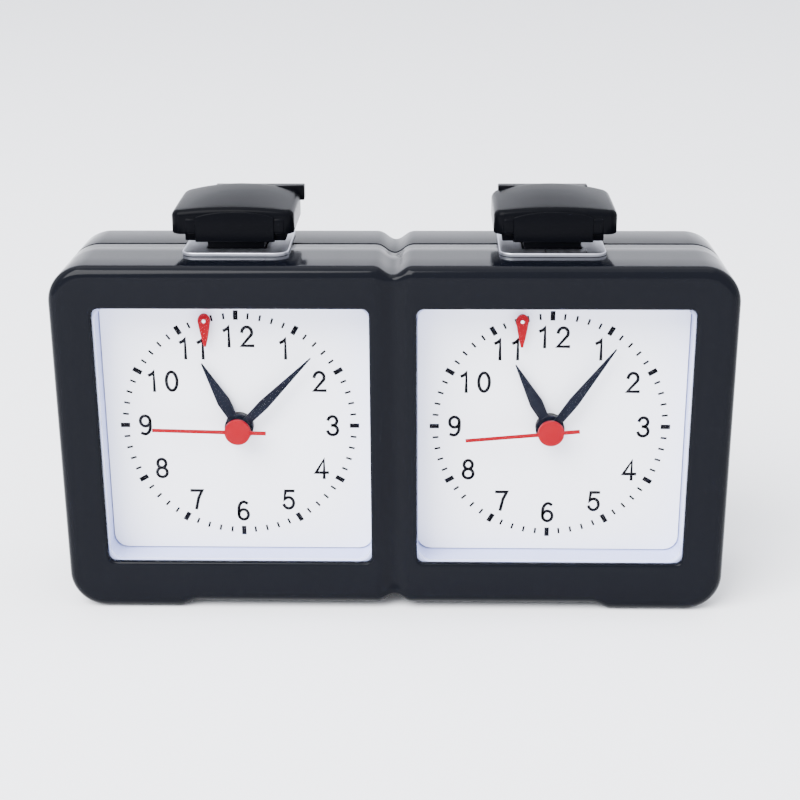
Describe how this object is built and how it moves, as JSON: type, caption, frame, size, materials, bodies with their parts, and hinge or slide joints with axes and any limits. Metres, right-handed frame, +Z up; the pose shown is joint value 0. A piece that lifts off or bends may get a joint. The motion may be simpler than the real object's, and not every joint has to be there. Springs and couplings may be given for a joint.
{
  "type": "chess clock",
  "caption": "Analogue chess clock with two quartz dials side by side in one case, hanging flags, and a rocker under a press button over each dial.",
  "frame": {"origin": "middle of the clock's bounding box, at the level of the surface that the feet stand on", "axes": "+X to the right along the width as seen from the front, +Y from the dials to the back, +Z up"},
  "size_m": [0.175, 0.0466, 0.108],
  "materials": {
    "housing_plastic": "gloss, slightly scuffed",
    "button_plastic": "gloss",
    "white_plastic": "satin",
    "dial_card": "printed matt card",
    "lens_clear": "clear polished acrylic",
    "grey_metal_plate": "satin",
    "dark_hands": "satin",
    "red_pointers": "satin",
    "movement_black": "moulded",
    "gear_nylon": "moulded",
    "brass_parts": "turned",
    "steel_parts": "plated",
    "coil_copper": "wound enamelled wire",
    "board_green": "solder mask",
    "cell_jacket": "printed sleeve"
  },
  "bodies": {
    "case": {"front_housing": "housing_plastic", "rear_housing": "housing_plastic", "rocker_pivot_pin": "steel_parts", "case_screw_1": "steel_parts", "case_screw_2": "steel_parts", "case_screw_3": "steel_parts", "case_screw_4": "steel_parts", "left_window_lens": "lens_clear", "left_dial_tray": "white_plastic", "left_dial_card": "dial_card", "left_button_plate": "grey_metal_plate", "left_movement_front_plate": "movement_black", "left_movement_case": "movement_black", "left_motor_coil": "coil_copper", "left_motor_stator": "steel_parts", "left_circuit_board": "board_green", "left_battery": "cell_jacket", "left_contact_spring": "steel_parts", "right_window_lens": "lens_clear", "right_dial_tray": "white_plastic", "right_dial_card": "dial_card", "right_button_plate": "grey_metal_plate", "right_movement_front_plate": "movement_black", "right_movement_case": "movement_black", "right_motor_coil": "coil_copper", "right_motor_stator": "steel_parts", "right_circuit_board": "board_green", "right_battery": "cell_jacket", "right_contact_spring": "steel_parts"},
    "rocker": {"rocker_lever": "white_plastic"},
    "left_button": {"left_button_cap": "button_plastic"},
    "left_seconds": {"left_second_hand": "red_pointers", "left_fourth_wheel": "brass_parts"},
    "left_third": {"left_third_wheel": "gear_nylon"},
    "left_centre": {"left_centre_wheel": "gear_nylon"},
    "left_fifth": {"left_fifth_wheel": "gear_nylon"},
    "left_rotor": {"left_rotor": "steel_parts"},
    "left_minutes": {"left_minute_hand": "dark_hands", "left_cannon_pinion": "brass_parts"},
    "left_setting": {"left_motion_wheel": "gear_nylon", "left_setting_knob": "movement_black"},
    "left_hours": {"left_hour_wheel": "gear_nylon", "left_hour_hand": "dark_hands"},
    "left_flag": {"left_flag": "red_pointers"},
    "left_cover": {"left_battery_cover": "housing_plastic"},
    "right_button": {"right_button_cap": "button_plastic"},
    "right_seconds": {"right_second_hand": "red_pointers", "right_fourth_wheel": "brass_parts"},
    "right_third": {"right_third_wheel": "gear_nylon"},
    "right_centre": {"right_centre_wheel": "gear_nylon"},
    "right_fifth": {"right_fifth_wheel": "gear_nylon"},
    "right_rotor": {"right_rotor": "steel_parts"},
    "right_minutes": {"right_minute_hand": "dark_hands", "right_cannon_pinion": "brass_parts"},
    "right_setting": {"right_motion_wheel": "gear_nylon", "right_setting_knob": "movement_black"},
    "right_hours": {"right_hour_wheel": "gear_nylon", "right_hour_hand": "dark_hands"},
    "right_flag": {"right_flag": "red_pointers"},
    "right_cover": {"right_battery_cover": "housing_plastic"}
  },
  "joints": [
    {"name": "rocker_tilt", "type": "hinge", "parent": "case", "child": "rocker", "pos_m": [0, 0.001, 0.084], "axis": [0, 1, 0], "range_deg": [-2.66, 2.66]},
    {"name": "left_button_press", "type": "slide", "parent": "case", "child": "left_button", "axis": [0, 0, 1], "range_m": [-0.00189, 0.00189]},
    {"name": "left_seconds_spin", "type": "hinge", "parent": "case", "child": "left_seconds", "pos_m": [-0.0411, 0, 0.049], "axis": [0, 1, 0], "continuous": true},
    {"name": "left_third_wheel_spin", "type": "hinge", "parent": "case", "child": "left_third", "pos_m": [-0.05028, 0, 0.049], "axis": [0, 1, 0], "continuous": true},
    {"name": "left_centre_wheel_spin", "type": "hinge", "parent": "case", "child": "left_centre", "pos_m": [-0.0411, 0, 0.049], "axis": [0, 1, 0], "continuous": true},
    {"name": "left_fifth_wheel_spin", "type": "hinge", "parent": "case", "child": "left_fifth", "pos_m": [-0.03467, 0, 0.0544], "axis": [0, 1, 0], "continuous": true},
    {"name": "left_rotor_spin", "type": "hinge", "parent": "case", "child": "left_rotor", "pos_m": [-0.03359, 0, 0.06055], "axis": [0, 1, 0], "continuous": true},
    {"name": "left_minutes_spin", "type": "hinge", "parent": "case", "child": "left_minutes", "pos_m": [-0.0411, 0, 0.049], "axis": [0, 1, 0], "continuous": true},
    {"name": "left_setting_spin", "type": "hinge", "parent": "case", "child": "left_setting", "pos_m": [-0.0411, 0, 0.039], "axis": [0, 1, 0], "continuous": true},
    {"name": "left_hours_spin", "type": "hinge", "parent": "case", "child": "left_hours", "pos_m": [-0.0411, 0, 0.049], "axis": [0, 1, 0], "continuous": true},
    {"name": "left_flag_swing", "type": "hinge", "parent": "case", "child": "left_flag", "pos_m": [-0.049, -0.0146, 0.0785], "axis": [0, -1, 0], "range_deg": [0, 80]},
    {"name": "left_cover_off", "type": "slide", "parent": "case", "child": "left_cover", "axis": [0, 1, 0], "range_m": [0, 0.02]},
    {"name": "right_button_press", "type": "slide", "parent": "case", "child": "right_button", "axis": [0, 0, 1], "range_m": [-0.00189, 0.00189]},
    {"name": "right_seconds_spin", "type": "hinge", "parent": "case", "child": "right_seconds", "pos_m": [0.0411, 0, 0.049], "axis": [0, 1, 0], "continuous": true},
    {"name": "right_third_wheel_spin", "type": "hinge", "parent": "case", "child": "right_third", "pos_m": [0.03192, 0, 0.049], "axis": [0, 1, 0], "continuous": true},
    {"name": "right_centre_wheel_spin", "type": "hinge", "parent": "case", "child": "right_centre", "pos_m": [0.0411, 0, 0.049], "axis": [0, 1, 0], "continuous": true},
    {"name": "right_fifth_wheel_spin", "type": "hinge", "parent": "case", "child": "right_fifth", "pos_m": [0.04753, 0, 0.0544], "axis": [0, 1, 0], "continuous": true},
    {"name": "right_rotor_spin", "type": "hinge", "parent": "case", "child": "right_rotor", "pos_m": [0.04861, 0, 0.06055], "axis": [0, 1, 0], "continuous": true},
    {"name": "right_minutes_spin", "type": "hinge", "parent": "case", "child": "right_minutes", "pos_m": [0.0411, 0, 0.049], "axis": [0, 1, 0], "continuous": true},
    {"name": "right_setting_spin", "type": "hinge", "parent": "case", "child": "right_setting", "pos_m": [0.0411, 0, 0.039], "axis": [0, 1, 0], "continuous": true},
    {"name": "right_hours_spin", "type": "hinge", "parent": "case", "child": "right_hours", "pos_m": [0.0411, 0, 0.049], "axis": [0, 1, 0], "continuous": true},
    {"name": "right_flag_swing", "type": "hinge", "parent": "case", "child": "right_flag", "pos_m": [0.0332, -0.0146, 0.0785], "axis": [0, -1, 0], "range_deg": [0, 80]},
    {"name": "right_cover_off", "type": "slide", "parent": "case", "child": "right_cover", "axis": [0, 1, 0], "range_m": [0, 0.02]}
  ],
  "couplings": [
    {"joint": "left_button_press", "follows": "rocker_tilt", "m_per_rad": 0.0408},
    {"joint": "left_third_wheel_spin", "follows": "left_seconds_spin", "ratio": -0.13333},
    {"joint": "left_centre_wheel_spin", "follows": "left_seconds_spin", "ratio": 0.016667},
    {"joint": "left_fifth_wheel_spin", "follows": "left_seconds_spin", "ratio": -6},
    {"joint": "left_rotor_spin", "follows": "left_seconds_spin", "ratio": 30},
    {"joint": "left_setting_spin", "follows": "left_minutes_spin", "ratio": -0.33333},
    {"joint": "left_hours_spin", "follows": "left_minutes_spin", "ratio": 0.083333},
    {"joint": "right_button_press", "follows": "rocker_tilt", "m_per_rad": -0.0408},
    {"joint": "right_third_wheel_spin", "follows": "right_seconds_spin", "ratio": -0.13333},
    {"joint": "right_centre_wheel_spin", "follows": "right_seconds_spin", "ratio": 0.016667},
    {"joint": "right_fifth_wheel_spin", "follows": "right_seconds_spin", "ratio": -6},
    {"joint": "right_rotor_spin", "follows": "right_seconds_spin", "ratio": 30},
    {"joint": "right_setting_spin", "follows": "right_minutes_spin", "ratio": -0.33333},
    {"joint": "right_hours_spin", "follows": "right_minutes_spin", "ratio": 0.083333}
  ]
}
